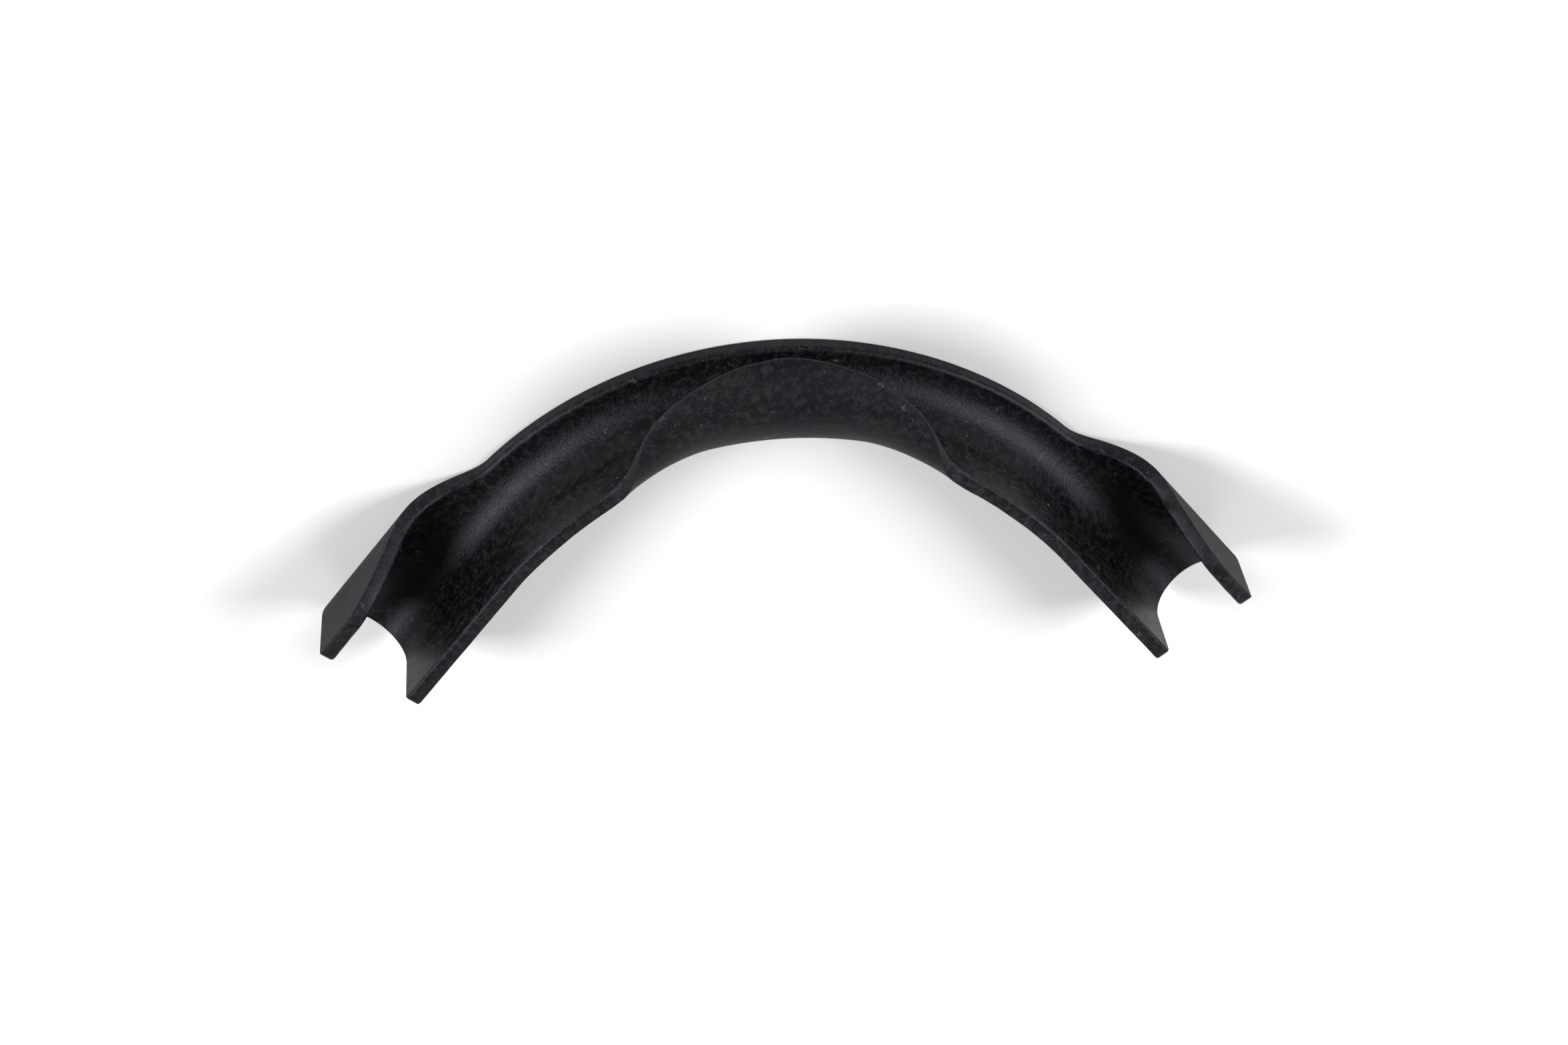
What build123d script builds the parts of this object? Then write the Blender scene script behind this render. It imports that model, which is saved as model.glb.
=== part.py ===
# A moulded rubber channel that is pressed over a curved 12 mm spring wire or rod.
# The rod's centre line is an arc with a straight leg at each end, in a level plane.
# Each cross-section is one wall of even thickness, open at the top or to the outside:
#   - in the middle, a tab wraps over the rod from the inner side of the curve,
#     and the outer side stops in a low rim just past the bottom;
#   - at both ends the outer rim climbs into a tall ear, and the section is a deep U.
# Frame: +Z up, X along the chord, +Y towards the outer side of the curve, and the
# origin under the middle of the whole part, on the surface that it stands on.

import os
from math import cos, pi, radians, sin, sqrt

from build123d import *

# rod and path, mm and degrees
rod_radius = 6.0            # the seat fits a 12 mm rod
wall = 2.1                  # rubber thickness
coil_radius = 56.0          # radius of the rod's centre line
arc_half_angle = 51.6       # arc on each side of the middle
leg_length = 23.5           # straight run past each end of the arc
pinch = 0.05                # the curved part grips this much tighter than the legs

# inner wall and tab, with heights measured along the wall from the rod's equator
tab_wrap = 230.5            # degrees from the bottom, over the rod, to the tab's edge
tab_half_length = 26.4      # from the middle to where the tab runs out
tab_fullness = 1.70         # power of the tab's outline: 1 is a triangle, 2 a parabola
tab_root_height = 7.6       # inner wall where the tab runs out
tab_root_blend = 0.9        # softness of the turn there
side_height = 8.7           # inner wall along the legs
side_rise = 16.0            # run over which the inner wall climbs to that height
stand_height = 3.4          # beside the tab the wall stands straight this far, then bends
stand_start = 11.5          # it starts to do so this far from the middle
uncurl_start = 17.9         # and its bend starts to open out this far from the middle
uncurl_overrun = 4.6        # the wall is straight this far past the tab's root

# outer wall and ears
rim_angle = 11.0            # outer rim in the middle, degrees past the bottom
ear_height = 9.2            # ear above the rod's centre
ear_flat = 6.4              # full-height run of the ear, back from the end
ear_ramp = 24.0             # run over which the low rim climbs into the ear

# ends
tip_radius = 1.0            # corner between a wall's rim and the square end

# how finely the shape is taken
station_step = 1.9          # between cross-sections
profile_steps = 18          # spans of each face's curve in a cross-section

wall_middle = rod_radius + wall / 2
quarter = wall_middle * pi / 2          # wall length from the bottom to the equator
arc_half_length = coil_radius * radians(arc_half_angle)
half_length = arc_half_length + leg_length


def ease(value, start, end):
    """0 before start, 1 after end, with a smooth S between."""
    share = min(max((value - start) / (end - start), 0.0), 1.0)
    return share * share * (3 - 2 * share)


def larger_of(one, other, softness):
    """The larger value, with the crossing rounded off."""
    return (one + other + sqrt((one - other) ** 2 + softness**2)) / 2


def curl(distance):
    """1 where the inner wall follows the rod all the way, 0 where it stands straight."""
    return 1 - ease(distance, uncurl_start, tab_half_length + uncurl_overrun)


def stand(distance):
    """How far the inner wall stands straight above the equator before it bends."""
    return stand_height * ease(distance, stand_start, tab_half_length)


def inner_length(distance):
    """Length of the inner wall from the bottom of the section to its edge."""
    crown = radians(tab_wrap) * wall_middle
    root = quarter + tab_root_height
    side = quarter + side_height
    tab = crown - (crown - root) * (distance / tab_half_length) ** tab_fullness
    beside = root + (side - root) * ease(distance, tab_half_length, tab_half_length + side_rise)
    return larger_of(tab, beside, tab_root_blend)


def outer_length(distance):
    """Length of the outer wall from the bottom of the section to its edge."""
    low = radians(rim_angle) * wall_middle
    high = quarter + ear_height
    ear_top = half_length - ear_flat
    return low + (high - low) * ease(distance, ear_top - ear_ramp, ear_top)


def wall_point(length, bend, rise, offset):
    """Point (out, up) at a length along the wall from the bottom, on the outer side.

    Up to the equator the wall follows the rod. Beyond it the wall stands straight for
    the rise. Then it bends over, at bend times the curvature of the circle that would
    bring it level with the rod-hugging wall's top. The offset is away from the rod.
    """
    turn = min(length, quarter) / wall_middle
    out, up = wall_middle * sin(turn), -wall_middle * cos(turn)
    beyond = max(length - quarter, 0.0)
    straight = min(beyond, rise)
    up += straight
    beyond -= straight
    if bend > 0:
        radius = (wall_middle - rise) / bend
        swing = beyond / radius
        out -= radius * (1 - cos(swing))
        up += radius * sin(swing)
        turn += swing
    else:
        up += beyond
    return out + offset * sin(turn), up - offset * cos(turn)


def profile(distance, offset):
    """Points (out, up) from the inner edge, under the rod, to the outer edge."""
    inner, outer = inner_length(distance), outer_length(distance)
    points = []
    for step in range(profile_steps + 1):
        along = -inner + (inner + outer) * step / profile_steps
        if along < 0:
            out, up = wall_point(-along, curl(distance), stand(distance), offset)
            points.append((-out, up))
        else:
            points.append(wall_point(along, 0.0, 0.0, offset))
    return points


def place(along, out, up):
    """The section point (out, up) at a signed length along the rod, in space."""
    turn = min(max(along, -arc_half_length), arc_half_length) / coil_radius
    straight = along - turn * coil_radius
    x = (coil_radius + out) * sin(turn) + straight * cos(turn)
    y = (coil_radius + out) * cos(turn) - straight * sin(turn)
    return Vector(x, y, up)


def section(along):
    """The closed outline of the wall at a signed length along the rod."""
    outside = [place(along, *point) for point in profile(abs(along), wall / 2)]
    inside = [place(along, *point) for point in profile(abs(along), -wall / 2 - pinch)]
    shares = [step / profile_steps for step in range(profile_steps + 1)]
    edges = [
        Edge.make_spline(outside, parameters=shares),
        Edge.make_line(outside[-1], inside[-1]),
        Edge.make_spline(inside[::-1], parameters=shares),
        Edge.make_line(inside[0], outside[0]),
    ]
    return Wire(edges)


def stations():
    """Signed lengths along the rod, evenly spaced, with the middle and both ends."""
    count = round(half_length / station_step)
    return [half_length * step / count for step in range(-count, count + 1)]


def leg_plane(side, along, out, up):
    """A place at a length along the rod whose X runs out along the leg."""
    heading = 90 - side * (90 + arc_half_angle)
    return Pos(place(side * along, out, up)) * Rot(Z=heading)


def leg_seat(side):
    """The straight rod's way into a leg: a half round with room straight up."""
    reach = 2 * leg_length
    lift = ear_height + wall
    round_seat = Rot(Y=90) * Cylinder(rod_radius, reach)
    way_in = Pos(0, 0, lift / 2) * Box(reach, 2 * rod_radius, lift)
    return leg_plane(side, arc_half_length + reach / 2, 0, 0) * (round_seat + way_in)


def tip_cutter(side, out, height):
    """What is cut away to round the corner between a wall's rim and its square end."""
    reach = 2 * wall
    square = Box(2 * tip_radius, reach, 2 * tip_radius)
    round_off = Rot(X=90) * Cylinder(tip_radius, 2 * reach)
    corner = Pos(tip_radius, 0, tip_radius) * square - round_off
    return leg_plane(side, half_length - tip_radius, out, height - tip_radius) * corner


def rubber_channel():
    """The whole channel, standing on z = 0 with the origin under its middle."""
    body = Solid.make_loft([section(along) for along in stations()], ruled=True)
    for side in (-1, 1):
        body -= leg_seat(side)
        body -= tip_cutter(side, wall_middle, ear_height)
        body -= tip_cutter(side, -wall_middle, side_height)
    box = body.bounding_box()
    return Pos(-box.center().X, -box.center().Y, -box.min.Z) * body


os.makedirs("parts", exist_ok=True)
export_step(rubber_channel(), "parts/rubber_channel.step")
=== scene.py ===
import math

import bpy
import numpy as np
from mathutils import Matrix, Vector


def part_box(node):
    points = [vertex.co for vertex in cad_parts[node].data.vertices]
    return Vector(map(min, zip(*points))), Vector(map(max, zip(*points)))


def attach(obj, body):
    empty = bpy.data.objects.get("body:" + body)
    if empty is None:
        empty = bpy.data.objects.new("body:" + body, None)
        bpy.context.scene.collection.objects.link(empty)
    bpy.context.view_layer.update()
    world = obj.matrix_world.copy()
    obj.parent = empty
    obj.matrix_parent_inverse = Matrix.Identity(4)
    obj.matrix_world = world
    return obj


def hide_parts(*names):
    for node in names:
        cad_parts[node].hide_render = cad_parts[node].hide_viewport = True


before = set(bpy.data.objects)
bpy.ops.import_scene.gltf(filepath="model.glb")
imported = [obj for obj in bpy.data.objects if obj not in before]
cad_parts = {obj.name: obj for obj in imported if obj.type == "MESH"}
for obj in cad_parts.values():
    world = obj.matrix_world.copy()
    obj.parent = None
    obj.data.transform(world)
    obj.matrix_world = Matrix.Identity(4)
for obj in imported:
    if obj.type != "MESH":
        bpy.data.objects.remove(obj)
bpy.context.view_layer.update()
print("frame loaded")

mm = 0.001


# small tools

def ease(value, start, end):
    # 0 before start, 1 after end, and 3t^2 - 2t^3 between
    t = np.clip((value - start) / (end - start), 0.0, 1.0)
    return t * t * (3.0 - 2.0 * t)


def bump(value, centre, width):
    # a bell, e to the minus squared distance from the centre in widths
    return np.exp(-((value - centre) / width) ** 2)


# share, stretch of the period and phase of each wave in a sway
swayWaves = ((0.5, 1.0, 1.3), (0.3, 0.618, 2.9), (0.2, 0.387, 4.4))


def sway(value, period, seed):
    # three sine waves whose periods don't match, adding up to at most 1
    return sum(share * np.sin(value * 2 * np.pi / (period * stretch) + phase * (seed + 1.0))
               for share, stretch, phase in swayWaves)


def tubeFaces(rows, cols):
    # quads between neighbours of a rows x columns grid that closes round its columns
    index = np.arange(rows * cols).reshape(rows, cols)
    right = np.roll(index, -1, axis=1)
    return np.stack([index[:-1], right[:-1], right[1:], index[1:]], axis=-1).reshape(-1, 4)


def buildObject(name, points, faces, material, smooth=True):
    mesh = bpy.data.meshes.new(name)
    mesh.from_pydata(points.tolist(), [], faces)
    mesh.polygons.foreach_set("use_smooth", np.full(len(mesh.polygons), smooth))
    mesh.materials.append(material)
    mesh.update()
    piece = bpy.data.objects.new(name, mesh)
    bpy.context.scene.collection.objects.link(piece)
    return piece


def addPointValue(piece, name, values):
    layer = piece.data.attributes.new(name, "FLOAT", "POINT")
    layer.data.foreach_set("value", np.ascontiguousarray(values, dtype=np.float32).ravel())


# node groups

def newGroup(name, inputs, outputs):
    group = bpy.data.node_groups.new(name, "ShaderNodeTree")
    for label, kind, value in inputs:
        socket = group.interface.new_socket(label, in_out="INPUT", socket_type=kind)
        if value is not None:
            socket.default_value = value
    for label, kind in outputs:
        group.interface.new_socket(label, in_out="OUTPUT", socket_type=kind)
    return group, group.nodes.new("NodeGroupInput"), group.nodes.new("NodeGroupOutput")


def mathNode(tree, operation, first, second=None, third=None):
    node = tree.nodes.new("ShaderNodeMath")
    node.operation = operation
    for slot, value in enumerate((first, second, third)):
        if value is None:
            continue
        if isinstance(value, (int, float)):
            node.inputs[slot].default_value = value
        else:
            tree.links.new(value, node.inputs[slot])
    return node.outputs[0]


def noiseNode(tree, vector, scale, detail, roughness):
    node = tree.nodes.new("ShaderNodeTexNoise")
    node.inputs["Detail"].default_value = detail
    node.inputs["Roughness"].default_value = roughness
    tree.links.new(vector, node.inputs["Vector"])
    if isinstance(scale, (int, float)):
        node.inputs["Scale"].default_value = scale
    else:
        tree.links.new(scale, node.inputs["Scale"])
    return node.outputs["Fac"]


def rampValue(tree, value, span):
    # 0 below the span's low end and 1 above its high end
    node = tree.nodes.new("ShaderNodeMapRange")
    node.interpolation_type = "SMOOTHSTEP"
    node.inputs["From Min"].default_value, node.inputs["From Max"].default_value = span
    tree.links.new(value, node.inputs["Value"])
    return node.outputs["Result"]


grainSettings = {
    "scale": 3000.0, "coarseScaleShare": 0.32, "patchScale": 150.0,
    # detail and roughness of each noise
    "fine": (3.0, 0.65), "coarse": (4.0, 0.7), "patches": (6.0, 0.65),
    "coarseHeight": 0.9,  # height of the coarse grain against the fine one
    "coarseParts": 3.0,  # parts of coarse grain to one of fine in the mottle
    "mottleSpan": (0.46, 0.60), "patchSpan": (0.34, 0.68),
}


def makeGrainGroup():
    # the fine sparked texture of the mould, with a slower unevenness under it
    use = grainSettings
    group, source, sink = newGroup(
        "mouldGrain",
        [("Vector", "NodeSocketVector", None), ("Grain Scale", "NodeSocketFloat", use["scale"]),
         ("Patch Scale", "NodeSocketFloat", use["patchScale"])],
        [("Height", "NodeSocketFloat"), ("Mottle", "NodeSocketFloat"),
         ("Patches", "NodeSocketFloat")])
    vector = source.outputs["Vector"]
    fine = noiseNode(group, vector, source.outputs["Grain Scale"], *use["fine"])
    coarseScale = mathNode(group, "MULTIPLY", source.outputs["Grain Scale"], use["coarseScaleShare"])
    coarse = noiseNode(group, vector, coarseScale, *use["coarse"])
    patches = noiseNode(group, vector, source.outputs["Patch Scale"], *use["patches"])
    height = mathNode(group, "MULTIPLY_ADD", coarse, use["coarseHeight"], fine)
    group.links.new(height, sink.inputs["Height"])
    both = mathNode(group, "MULTIPLY_ADD", coarse, use["coarseParts"], fine)
    both = mathNode(group, "MULTIPLY", both, 1.0 / (use["coarseParts"] + 1.0))
    group.links.new(rampValue(group, both, use["mottleSpan"]), sink.inputs["Mottle"])
    group.links.new(rampValue(group, patches, use["patchSpan"]), sink.inputs["Patches"])
    return group


dustSettings = {
    "speckScale": 2300.0, "spreadScale": 130.0, "hairScale": 420.0, "amount": 0.5,
    "specks": (2.0, 0.6), "spread": (5.0, 0.7), "sparse": (1.0, 0.5),
    "speckSpan": (0.665, 0.78), "spreadSpan": (0.42, 0.64),
    "swirlScale": 700.0, "swirlReach": 0.0016,
    "hairSpan": (0.010, 0.030), "sparseScale": 520.0, "sparseSpan": (0.66, 0.72),
    "hairStrength": 0.55,
}


def makeDustGroup():
    # pale specks where a fine noise peaks inside a slower one, and short hairs that
    # follow the borders of wide cells wherever a sparse noise lets them show
    use = dustSettings
    group, source, sink = newGroup(
        "paleDust",
        [("Vector", "NodeSocketVector", None),
         ("Speck Scale", "NodeSocketFloat", use["speckScale"]),
         ("Spread Scale", "NodeSocketFloat", use["spreadScale"]),
         ("Hair Scale", "NodeSocketFloat", use["hairScale"]),
         ("Amount", "NodeSocketFloat", use["amount"])],
        [("Mask", "NodeSocketFloat")])
    vector = source.outputs["Vector"]
    specks = noiseNode(group, vector, source.outputs["Speck Scale"], *use["specks"])
    specks = rampValue(group, specks, use["speckSpan"])
    spread = noiseNode(group, vector, source.outputs["Spread Scale"], *use["spread"])
    spread = rampValue(group, spread, use["spreadSpan"])
    bent = group.nodes.new("ShaderNodeVectorMath")
    bent.operation = "MULTIPLY_ADD"
    swirl = group.nodes.new("ShaderNodeTexNoise")
    swirl.inputs["Scale"].default_value = use["swirlScale"]
    group.links.new(vector, swirl.inputs["Vector"])
    group.links.new(swirl.outputs["Color"], bent.inputs[0])
    bent.inputs[1].default_value = (use["swirlReach"],) * 3
    group.links.new(vector, bent.inputs[2])
    cells = group.nodes.new("ShaderNodeTexVoronoi")
    cells.feature = "DISTANCE_TO_EDGE"
    group.links.new(bent.outputs[0], cells.inputs["Vector"])
    group.links.new(source.outputs["Hair Scale"], cells.inputs["Scale"])
    away = rampValue(group, cells.outputs["Distance"], use["hairSpan"])
    thin = mathNode(group, "SUBTRACT", 1.0, away)
    sparse = rampValue(group, noiseNode(group, vector, use["sparseScale"], *use["sparse"]),
                       use["sparseSpan"])
    hairs = mathNode(group, "MULTIPLY", thin, sparse)
    hairs = mathNode(group, "MULTIPLY", hairs, use["hairStrength"])
    mask = mathNode(group, "MAXIMUM", mathNode(group, "MULTIPLY", specks, spread), hairs)
    mask = mathNode(group, "MULTIPLY", mask, source.outputs["Amount"])
    group.links.new(mask, sink.inputs["Mask"])
    return group


scuffSettings = {
    "scale": 900.0, "amount": 0.4, "stretch": (0.12, 1.0, 1.0), "patchScale": 90.0,
    "streaks": (5.0, 0.65), "patches": (3.0, 0.5),
    "streakSpan": (0.60, 0.74), "patchSpan": (0.45, 0.7),
}


def makeScuffGroup():
    # faint streaks: noise drawn out along one way of the surface
    use = scuffSettings
    group, source, sink = newGroup(
        "longScuffs",
        [("Vector", "NodeSocketVector", None), ("Scale", "NodeSocketFloat", use["scale"]),
         ("Amount", "NodeSocketFloat", use["amount"])],
        [("Mask", "NodeSocketFloat")])
    stretch = group.nodes.new("ShaderNodeVectorMath")
    stretch.operation = "MULTIPLY"
    stretch.inputs[1].default_value = use["stretch"]
    group.links.new(source.outputs["Vector"], stretch.inputs[0])
    streaks = noiseNode(group, stretch.outputs[0], source.outputs["Scale"], *use["streaks"])
    patches = noiseNode(group, source.outputs["Vector"], use["patchScale"], *use["patches"])
    mask = mathNode(group, "MULTIPLY", rampValue(group, streaks, use["streakSpan"]),
                    rampValue(group, patches, use["patchSpan"]))
    mask = mathNode(group, "MULTIPLY", mask, source.outputs["Amount"])
    group.links.new(mask, sink.inputs["Mask"])
    return group


# the rubber: nearly black, with a pale bloom where the grain stands up, and rims painted paler,
# partly trimmed rubber and partly painted highlight

rubberFinish = {
    "deepBlack": (0.0018, 0.0017, 0.0024, 1.0),
    # the pale tones serve the grain's bloom and also the painted highlight on the rims
    "coolBloomAndHighlight": (0.0195, 0.0190, 0.0235, 1.0),
    "warmBloomAndHighlight": (0.0215, 0.0188, 0.0195, 1.0),
    "dust": (0.20, 0.19, 0.18, 1.0),
    "dustAmount": 0.6,
    # how much each effect adds to the paleness; the edge share is partly trimmed rubber and partly
    # painted highlight on the rims
    "mottleBloom": 0.66, "patchBloom": 0.15, "edgeMarksAndPaintedHighlight": 0.55,
    "insideRoughness": 0.37,
    "outsideRoughness": 0.56,
    "mottleRoughness": 0.12, "dustRoughness": 0.3,  # added where each effect shows
    "specularLevel": 0.20,
    "grainHeight": 0.00007, "grainStrength": 0.9,
    "sheenTint": (0.88, 0.86, 1.0, 1.0),
}


def mixColour(tree, factor, first, second):
    node = tree.nodes.new("ShaderNodeMix")
    node.data_type = "RGBA"
    tree.links.new(factor, node.inputs["Factor"])
    for socket, value in ((node.inputs[6], first), (node.inputs[7], second)):
        if isinstance(value, tuple):
            socket.default_value = value
        else:
            tree.links.new(value, socket)
    return node.outputs[2]


def placeGroup(tree, group, vector, **values):
    node = tree.nodes.new("ShaderNodeGroup")
    node.node_tree = group
    tree.links.new(vector, node.inputs["Vector"])
    for label, value in values.items():
        node.inputs[label].default_value = value
    return node.outputs


def surfaceValue(tree, name):
    node = tree.nodes.new("ShaderNodeAttribute")
    node.attribute_name = name
    return node.outputs["Fac"]


def makeRubber(name, finish):
    material = bpy.data.materials.new(name)
    material.use_nodes = True
    tree = material.node_tree
    shader = tree.nodes["Principled BSDF"]
    coords = tree.nodes.new("ShaderNodeTexCoord").outputs["Object"]
    flat = tree.nodes.new("ShaderNodeUVMap").outputs["UV"]
    outside, edge = surfaceValue(tree, "outside"), surfaceValue(tree, "edge")

    grain = placeGroup(tree, makeGrainGroup(), coords)
    dust = placeGroup(tree, makeDustGroup(), coords, Amount=finish["dustAmount"])
    scuffs = placeGroup(tree, makeScuffGroup(), flat)

    paleness = mathNode(tree, "MULTIPLY", grain["Mottle"], finish["mottleBloom"])
    paleness = mathNode(tree, "MULTIPLY_ADD", grain["Patches"], finish["patchBloom"], paleness)
    # the edge value paints the rims paler: partly trimmed rubber, partly painted highlight where the
    # rounded rims catch the light; the witness line and the mould mark are made paler with it
    paleness = mathNode(tree, "MULTIPLY_ADD", edge, finish["edgeMarksAndPaintedHighlight"], paleness)
    paleness = mathNode(tree, "ADD", paleness, scuffs["Mask"])
    paleness = mathNode(tree, "MINIMUM", paleness, 1.0)
    hazeAndHighlight = mixColour(tree, grain["Patches"], finish["coolBloomAndHighlight"], finish["warmBloomAndHighlight"])
    body = mixColour(tree, paleness, finish["deepBlack"], hazeAndHighlight)
    skin = mixColour(tree, dust["Mask"], body, finish["dust"])
    tree.links.new(skin, shader.inputs["Base Color"])

    rise = finish["outsideRoughness"] - finish["insideRoughness"]
    rough = mathNode(tree, "MULTIPLY_ADD", outside, rise, finish["insideRoughness"])
    rough = mathNode(tree, "MULTIPLY_ADD", grain["Mottle"], finish["mottleRoughness"], rough)
    rough = mathNode(tree, "MULTIPLY_ADD", dust["Mask"], finish["dustRoughness"], rough)
    tree.links.new(rough, shader.inputs["Roughness"])
    shader.inputs["Specular IOR Level"].default_value = finish["specularLevel"]
    shader.inputs["Specular Tint"].default_value = finish["sheenTint"]

    relief = tree.nodes.new("ShaderNodeBump")
    relief.inputs["Strength"].default_value = finish["grainStrength"]
    relief.inputs["Distance"].default_value = finish["grainHeight"]
    tree.links.new(grain["Height"], relief.inputs["Height"])
    tree.links.new(relief.outputs["Normal"], shader.inputs["Normal"])
    return material


blackRubber = makeRubber("blackRubber", rubberFinish)
print("rubber ready")


# the channel: a wall of even thickness carried along the rod's line, sizes in mm and degrees

channel = {
    "rodRadius": 6.0, "wall": 2.1, "coilRadius": 56.0, "arcHalfAngle": 51.6, "legLength": 23.5,
    "tabWrap": 230.5, "tabHalfLength": 26.4, "tabFullness": 1.70, "tabRootHeight": 7.6,
    "tabRootBlend": 0.9, "sideHeight": 8.7, "sideRise": 16.0, "standHeight": 3.4,
    "standStart": 11.5, "uncurlStart": 17.9, "uncurlOverrun": 4.6,
    "rimAngle": 11.0, "earHeight": 9.2, "earFlat": 6.4, "earRamp": 24.0,
    "tipRadius": 1.0, "endRound": 0.35,
    "rimOuterRound": 0.28, "rimInnerRound": 0.45, "lowRimInnerRound": 0.80,
    "witnessPlace": 46.0, "witnessHeight": 0.10, "witnessWidth": 0.16, "witnessSlant": 0.05,
    "witnessFade": (-5.0, -2.0),
    # reach, period and seed of each rim's waver
    "trimWaver": (0.06, 5.5, 1), "innerWaver": (0.04, 9.0, 4),
    # place along the rod, height and width of each bit left by trimming the ear's flash
    "trimBits": ((54.6, 0.46, 0.35), (56.9, -0.42, 0.50), (58.3, 0.30, 0.5), (70.1, 0.12, 0.6)),
    # how much paler the rims are painted: partly trimmed rubber, partly painted highlight
    "rimTrimAndPaintedHighlight": 0.35,
    "alongStep": 0.42, "fineStep": 0.10, "fineReach": 0.8, "fineLead": 0.3,
    "faceSpans": 84, "cornerSpans": 5,
}

wallMiddle = channel["rodRadius"] + channel["wall"] / 2
quarter = wallMiddle * math.pi / 2
arcHalfLength = channel["coilRadius"] * math.radians(channel["arcHalfAngle"])
halfLength = arcHalfLength + channel["legLength"]
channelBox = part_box("rubber_channel")


def curl(distance):
    # 1 where the inner wall follows the rod, 0 where it stands straight
    return 1.0 - ease(distance, channel["uncurlStart"],
                      channel["tabHalfLength"] + channel["uncurlOverrun"])


def stand(distance):
    # how far the inner wall stands straight above the equator before it bends
    return channel["standHeight"] * ease(distance, channel["standStart"], channel["tabHalfLength"])


def innerLength(distance):
    # a power curve over the tab, and beside it a rise to the straight wall, joined softly
    crown = math.radians(channel["tabWrap"]) * wallMiddle
    root, side = quarter + channel["tabRootHeight"], quarter + channel["sideHeight"]
    reach = (distance / channel["tabHalfLength"]) ** channel["tabFullness"]
    tab = crown - (crown - root) * reach
    climb = ease(distance, channel["tabHalfLength"], channel["tabHalfLength"] + channel["sideRise"])
    beside = root + (side - root) * climb
    return (tab + beside + np.sqrt((tab - beside) ** 2 + channel["tabRootBlend"] ** 2)) / 2


def earShare(distance):
    # 0 along the low rim and 1 on the ear's flat top
    top = halfLength - channel["earFlat"]
    return ease(distance, top - channel["earRamp"], top)


def outerLength(distance):
    # the low rim's length round the wall, plus the ear's share of the way up to its top
    low = math.radians(channel["rimAngle"]) * wallMiddle
    return low + (quarter + channel["earHeight"] - low) * earShare(distance)


def endDrop(distance, radius):
    # how far a quarter circle falls away over the last radius before the square end
    into = np.clip(distance - (halfLength - radius), 0.0, radius)
    return radius - np.sqrt(radius ** 2 - into ** 2)


def wallSurface(along, length, offset):
    # the point at a signed length along the rod, a signed length round the wall from the
    # bottom, and an offset off the wall's middle: a circle up to the equator, then straight
    # up, and on the inner side, past its stand, an arc whose curvature is curl times that
    # of the circle that comes level with the crown
    distance = np.abs(along)
    side = np.where(length < 0, -1.0, 1.0)
    bend = np.where(length < 0, curl(distance), 0.0)
    turn = np.minimum(np.abs(length), quarter) / wallMiddle
    beyond = np.maximum(np.abs(length) - quarter, 0.0)
    rise = np.where(length < 0, stand(distance), 0.0)
    upright = np.minimum(beyond, rise)
    beyond = beyond - upright
    swing = np.maximum(bend * beyond / (wallMiddle - rise), 1e-9)
    out = wallMiddle * np.sin(turn) - beyond * (1 - np.cos(swing)) / swing
    up = -wallMiddle * np.cos(turn) + upright + beyond * np.sin(swing) / swing
    lean = turn + swing
    out = side * (out + offset * np.sin(lean))
    up = up - offset * np.cos(lean)
    angle = np.clip(along, -arcHalfLength, arcHalfLength) / channel["coilRadius"]
    downLeg = along - angle * channel["coilRadius"]
    x = (channel["coilRadius"] + out) * np.sin(angle) + downLeg * np.cos(angle)
    y = (channel["coilRadius"] + out) * np.cos(angle) - downLeg * np.sin(angle)
    return np.stack([x, y, up], axis=-1)


def placeInFrame(points):
    # the lowest y of the part is the foot of its inner tips, and its bottom is z = 0
    tip = wallSurface(np.array(halfLength), np.array(-quarter), np.array(channel["wall"] / 2))
    shift = np.array([0.0, channelBox[0][1] / mm - tip[1], channel["rodRadius"] + channel["wall"]])
    return (points + shift) * mm


def alongStations():
    # even steps, with finer ones over the witness lines and the tips
    fineSpans = [(channel["witnessPlace"] - channel["fineReach"],
                  channel["witnessPlace"] + channel["fineReach"]),
                 (halfLength - channel["tipRadius"], halfLength)]
    half = [0.0]
    while half[-1] < halfLength - 1e-6:
        here = half[-1]
        fine = any(low - channel["fineLead"] <= here < high for low, high in fineSpans)
        half.append(min(here + (channel["fineStep"] if fine else channel["alongStep"]), halfLength))
    half = np.array(half)
    return np.concatenate([-half[:0:-1], half])


def cornerArc(backwards):
    # a quarter turn of radius 1 in steps: how far short of the edge, how far in from the face
    angles = np.linspace(0.0, np.pi / 2, channel["cornerSpans"] + 1)
    if backwards:
        angles = angles[::-1]
    return 1 - np.sin(angles), 1 - np.cos(angles)


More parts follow.
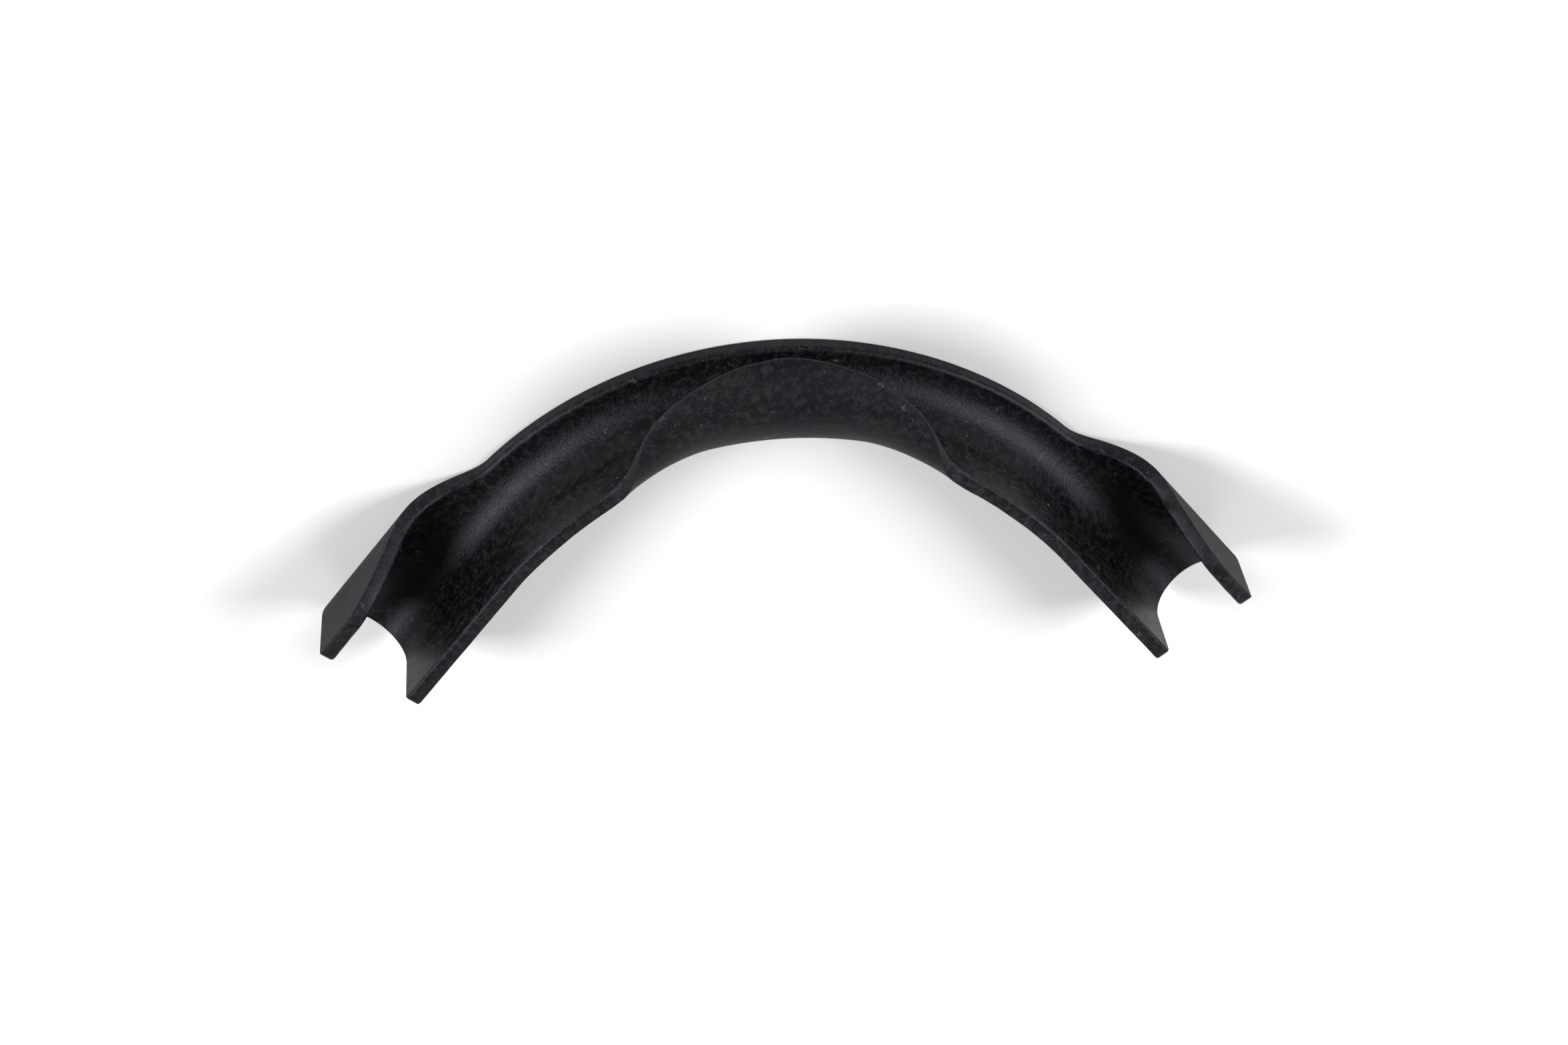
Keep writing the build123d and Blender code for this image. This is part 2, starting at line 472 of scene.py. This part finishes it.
def wallLoop(along):
    # round the wall's section: outer face, outer rim, inner face back, inner rim
    distance = np.abs(along)[:, None]
    drop = endDrop(distance, channel["tipRadius"])
    ear = earShare(distance)
    reach, period, seed = channel["trimWaver"]
    trim = reach * sway(along[:, None], period, seed) * ear
    for place, size, width in channel["trimBits"]:
        trim = trim + size * bump(along[:, None], place, width)
    outerEdge = outerLength(distance) - drop + trim
    reach, period, seed = channel["innerWaver"]
    innerEdge = innerLength(distance) - drop + reach * sway(along[:, None], period, seed)
    half = channel["wall"] / 2 - endDrop(distance, channel["endRound"])

    outerRound = np.full_like(distance, channel["rimOuterRound"])
    lowRound = channel["lowRimInnerRound"]
    innerRoundOut = lowRound + (channel["rimInnerRound"] - lowRound) * ear
    innerRoundIn = np.full_like(distance, channel["rimInnerRound"])

    share = np.linspace(0.0, 1.0, channel["faceSpans"] + 1)[None, :]
    shortA, inA = cornerArc(False)
    shortB, inB = cornerArc(True)
    outerStart, outerStop = -(innerEdge - outerRound), outerEdge - outerRound
    innerStart, innerStop = outerEdge - innerRoundOut, -(innerEdge - innerRoundIn)
    parts = {
        "outerFace": (outerStart + (outerStop - outerStart) * share, half + 0.0 * share),
        "outerCorner": (outerEdge - outerRound * shortA[None, 1:],
                        half - outerRound * inA[None, 1:]),
        "innerCorner": (outerEdge - innerRoundOut * shortB[None, :-1],
                        -half + innerRoundOut * inB[None, :-1]),
        "innerFace": (innerStart + (innerStop - innerStart) * share, -half + 0.0 * share),
        "backInner": (-(innerEdge - innerRoundIn * shortA[None, 1:]),
                      -half + innerRoundIn * inA[None, 1:]),
        "backOuter": (-(innerEdge - outerRound * shortB[None, :-1]),
                      half - outerRound * inB[None, :-1]),
    }
    length = np.concatenate([part[0] for part in parts.values()], axis=1)
    offset = np.concatenate([part[1] for part in parts.values()], axis=1)
    kinds = np.concatenate([np.full(part[0].shape[1], kind) for kind, part in parts.items()])
    return length, offset, kinds


def witnessLine(along, length):
    # a fine line across the inside at each dip, fading out down the inner wall
    centre = channel["witnessPlace"] + channel["witnessSlant"] * length
    return (bump(np.abs(along)[:, None], centre, channel["witnessWidth"])
            * ease(length, *channel["witnessFade"]))


def endFaces(kinds, rows):
    # both square ends: strips across the wall, and one many-sided face on each rim's corners
    count = len(kinds)
    outer = np.where(kinds == "outerFace")[0]
    inner = np.where(kinds == "innerFace")[0][::-1]
    strip = np.stack([outer[:-1], outer[1:], inner[1:], inner[:-1]], axis=-1)
    outerCorners = np.where(np.isin(kinds, ("outerCorner", "innerCorner")))[0]
    innerCorners = np.where(np.isin(kinds, ("backInner", "backOuter")))[0]
    rims = (np.concatenate([outer[-1:], outerCorners, inner[-1:]]),
            np.concatenate([inner[:1], innerCorners, outer[:1]]))
    last = (rows - 1) * count
    faces = strip[:, ::-1].tolist() + (last + strip).tolist()
    for rim in rims:
        faces.append(rim[::-1].tolist())
        faces.append((last + rim).tolist())
    return faces


def makeChannel():
    along = alongStations()
    length, offset, kinds = wallLoop(along)
    witness = np.where((kinds == "innerFace")[None, :], witnessLine(along, length), 0.0)
    offset = offset - channel["witnessHeight"] * witness
    points = placeInFrame(wallSurface(along[:, None] + 0.0 * length, length, offset))
    faces = tubeFaces(*length.shape).tolist() + endFaces(kinds, len(along))
    piece = buildObject("rubberChannel", points.reshape(-1, 3), faces, blackRubber)

    outside = np.isin(kinds, ("outerFace", "outerCorner", "backOuter"))
    corners = np.isin(kinds, ("outerCorner", "innerCorner", "backInner", "backOuter"))
    # rim corners painted paler, partly trimmed rubber and partly painted highlight; the witness line
    # is made paler with them
    rims = channel["rimTrimAndPaintedHighlight"] * corners.astype(float)[None, :]
    addPointValue(piece, "outside", outside.astype(float)[None, :] + 0.0 * length)
    addPointValue(piece, "edge", np.clip(rims + witness, 0.0, 1.0))

    # the UV map holds the lengths along the rod and round the wall, in metres
    flat = np.stack([along[:, None] + 0.0 * length, length], axis=-1).reshape(-1, 2) * mm
    index = np.zeros(len(piece.data.loops), dtype=np.int32)
    piece.data.loops.foreach_get("vertex_index", index)
    layer = piece.data.uv_layers.new(name="alongAndRound")
    layer.data.foreach_set("uv", flat[index].astype(np.float32).ravel())
    return piece


rubberChannel = makeChannel()
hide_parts("rubber_channel")
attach(rubberChannel, "root")
print("channel made", len(rubberChannel.data.polygons), "faces")


# a plain mark that the mould leaves on the floor of one leg: a ring and two pips, in mm

mouldMark = {"along": 63.2, "length": -1.0, "ringRadius": 0.66, "ringWire": 0.13,
             "pipRadius": 0.24, "pipGap": 1.25, "pipFlatness": 0.45, "paleness": 0.8,
             "ringSpans": (28, 8), "pipSpans": (10, 14), "mergeWithin": 1e-7}


def torusPoints(radius, wire, rings, sides):
    # a circle of the wire's radius carried round a larger circle
    a = np.linspace(0, 2 * np.pi, rings, endpoint=False)[:, None]
    b = np.linspace(0, 2 * np.pi, sides, endpoint=False)[None, :]
    away = radius + wire * np.cos(b)
    return np.stack([away * np.cos(a), away * np.sin(a), wire * np.sin(b) + 0 * a], axis=-1)


def ballPoints(radius, rings, sides):
    # a flattened ball, whose first and last rings are its poles
    a = np.linspace(0.0, np.pi, rings)[:, None]
    b = np.linspace(0, 2 * np.pi, sides, endpoint=False)[None, :]
    return np.stack([radius * np.sin(a) * np.cos(b), radius * np.sin(a) * np.sin(b),
                     mouldMark["pipFlatness"] * radius * np.cos(a) + 0 * b], axis=-1)


def layOnFloor(local):
    # local x runs along the rod, local y round the wall and local z off the surface
    half = channel["wall"] / 2
    return placeInFrame(wallSurface(mouldMark["along"] + local[..., 0],
                                    mouldMark["length"] + local[..., 1], -half - local[..., 2]))


def makeMouldMark():
    ring = torusPoints(mouldMark["ringRadius"], mouldMark["ringWire"], *mouldMark["ringSpans"])
    rows, cols = mouldMark["ringSpans"]
    index = np.arange(rows * cols).reshape(rows, cols)
    next1, next2 = np.roll(index, -1, axis=0), np.roll(index, -1, axis=1)
    ringFaces = np.stack([index, next1, np.roll(next1, -1, axis=1), next2], axis=-1).reshape(-1, 4)
    verts, faces = [layOnFloor(ring).reshape(-1, 3)], ringFaces[:, ::-1].tolist()
    total = rows * cols
    ball = ballPoints(mouldMark["pipRadius"], *mouldMark["pipSpans"])
    for sign in (-1, 1):
        shifted = ball + np.array([sign * mouldMark["pipGap"], 0.0, 0.0])
        verts.append(layOnFloor(shifted).reshape(-1, 3))
        faces += (tubeFaces(*mouldMark["pipSpans"]) + total).tolist()
        total += len(verts[-1])
    piece = buildObject("mouldMark", np.concatenate(verts), faces, blackRubber)
    addPointValue(piece, "edge", np.full(total, mouldMark["paleness"]))
    # the poles' points are merged, and then the faces are turned outwards
    bpy.context.view_layer.objects.active = piece
    piece.select_set(True)
    bpy.ops.object.mode_set(mode="EDIT")
    bpy.ops.mesh.select_all(action="SELECT")
    bpy.ops.mesh.remove_doubles(threshold=mouldMark["mergeWithin"])
    bpy.ops.mesh.normals_make_consistent(inside=False)
    bpy.ops.object.mode_set(mode="OBJECT")
    piece.select_set(False)
    return piece


mouldMarkPiece = makeMouldMark()
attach(mouldMarkPiece, "root")
print("mould mark made")


# stage: pale floor, a softbox at each side, a weak one in front and an even room, in metres

stage = {
    "floorSize": 6.0, "floorColour": (0.92, 0.92, 0.92, 1.0), "floorRoughness": 0.9,
    "worldColour": (1.0, 1.0, 1.0, 1.0), "worldStrength": 0.18,
    "lightAim": (0.0, 0.0, 0.01),
    # name, place, size and power
    "softboxes": (("leftSoftbox", (-0.58, 0.12, 0.51), 0.30, 4.8),
                  ("rightSoftbox", (0.55, 0.16, 0.50), 0.36, 4.6),
                  ("frontSoftbox", (0.05, -0.60, 0.26), 0.40, 0.8)),
}


def makeFloor():
    half = stage["floorSize"] / 2
    corners = np.array([[-half, -half, 0], [half, -half, 0], [half, half, 0], [-half, half, 0]])
    paper = bpy.data.materials.new("palePaper")
    paper.use_nodes = True
    shader = paper.node_tree.nodes["Principled BSDF"]
    shader.inputs["Base Color"].default_value = stage["floorColour"]
    shader.inputs["Roughness"].default_value = stage["floorRoughness"]
    floor = buildObject("paleFloor", corners, [[0, 1, 2, 3]], paper, smooth=False)


def makeLights():
    aim = Vector(stage["lightAim"])
    for name, place, size, power in stage["softboxes"]:
        light = bpy.data.lights.new(name, "AREA")
        light.shape, light.size, light.energy = "SQUARE", size, power
        holder = bpy.data.objects.new(name, light)
        holder.location = place
        holder.rotation_euler = (aim - Vector(place)).to_track_quat("-Z", "Y").to_euler()
        bpy.context.scene.collection.objects.link(holder)
    world = bpy.data.worlds.new("softRoom")
    world.use_nodes = True
    world.node_tree.nodes["Background"].inputs["Color"].default_value = stage["worldColour"]
    world.node_tree.nodes["Background"].inputs["Strength"].default_value = stage["worldStrength"]
    bpy.context.scene.world = world


makeFloor()
makeLights()
print("stage ready")


# camera: from the outer side of the curve, high up, with that side at the top of the picture;
# angles in degrees, lengths in mm, the focal length in widths of the picture

cameraSettings = {
    "azimuth": -6.76, "tilt": 34.62, "roll": -0.79, "distance": 437.7,
    "focalWidths": 4694.8 / 2352, "sensor": 36.0, "shiftX": -0.0003, "shiftY": 0.0280,
    "aim": (0.0, 25.41, 0.0), "clip": (0.01, 20.0),  # clip in metres
}


def makeCamera():
    azimuth, tilt = math.radians(cameraSettings["azimuth"]), math.radians(cameraSettings["tilt"])
    back = Vector((math.sin(azimuth) * math.sin(tilt), math.cos(azimuth) * math.sin(tilt),
                   math.cos(tilt)))
    right = Vector((0, 1, 0)).cross(back).normalized()
    up = back.cross(right)
    roll = math.radians(cameraSettings["roll"])
    right, up = (right * math.cos(roll) + up * math.sin(roll),
                 up * math.cos(roll) - right * math.sin(roll))
    aim = Vector(placeInFrame(np.array(cameraSettings["aim"])).tolist())
    data = bpy.data.cameras.new("viewCamera")
    data.sensor_width = cameraSettings["sensor"]
    data.lens = cameraSettings["sensor"] * cameraSettings["focalWidths"]
    data.shift_x, data.shift_y = cameraSettings["shiftX"], cameraSettings["shiftY"]
    data.clip_start, data.clip_end = cameraSettings["clip"]
    camera = bpy.data.objects.new("viewCamera", data)
    place = aim + back * cameraSettings["distance"] * mm
    camera.matrix_world = Matrix.Translation(place) @ Matrix((right, up, back)).transposed().to_4x4()
    bpy.context.scene.collection.objects.link(camera)
    bpy.context.scene.camera = camera


makeCamera()
bpy.context.scene.view_settings.view_transform = "Standard"
print("camera ready")
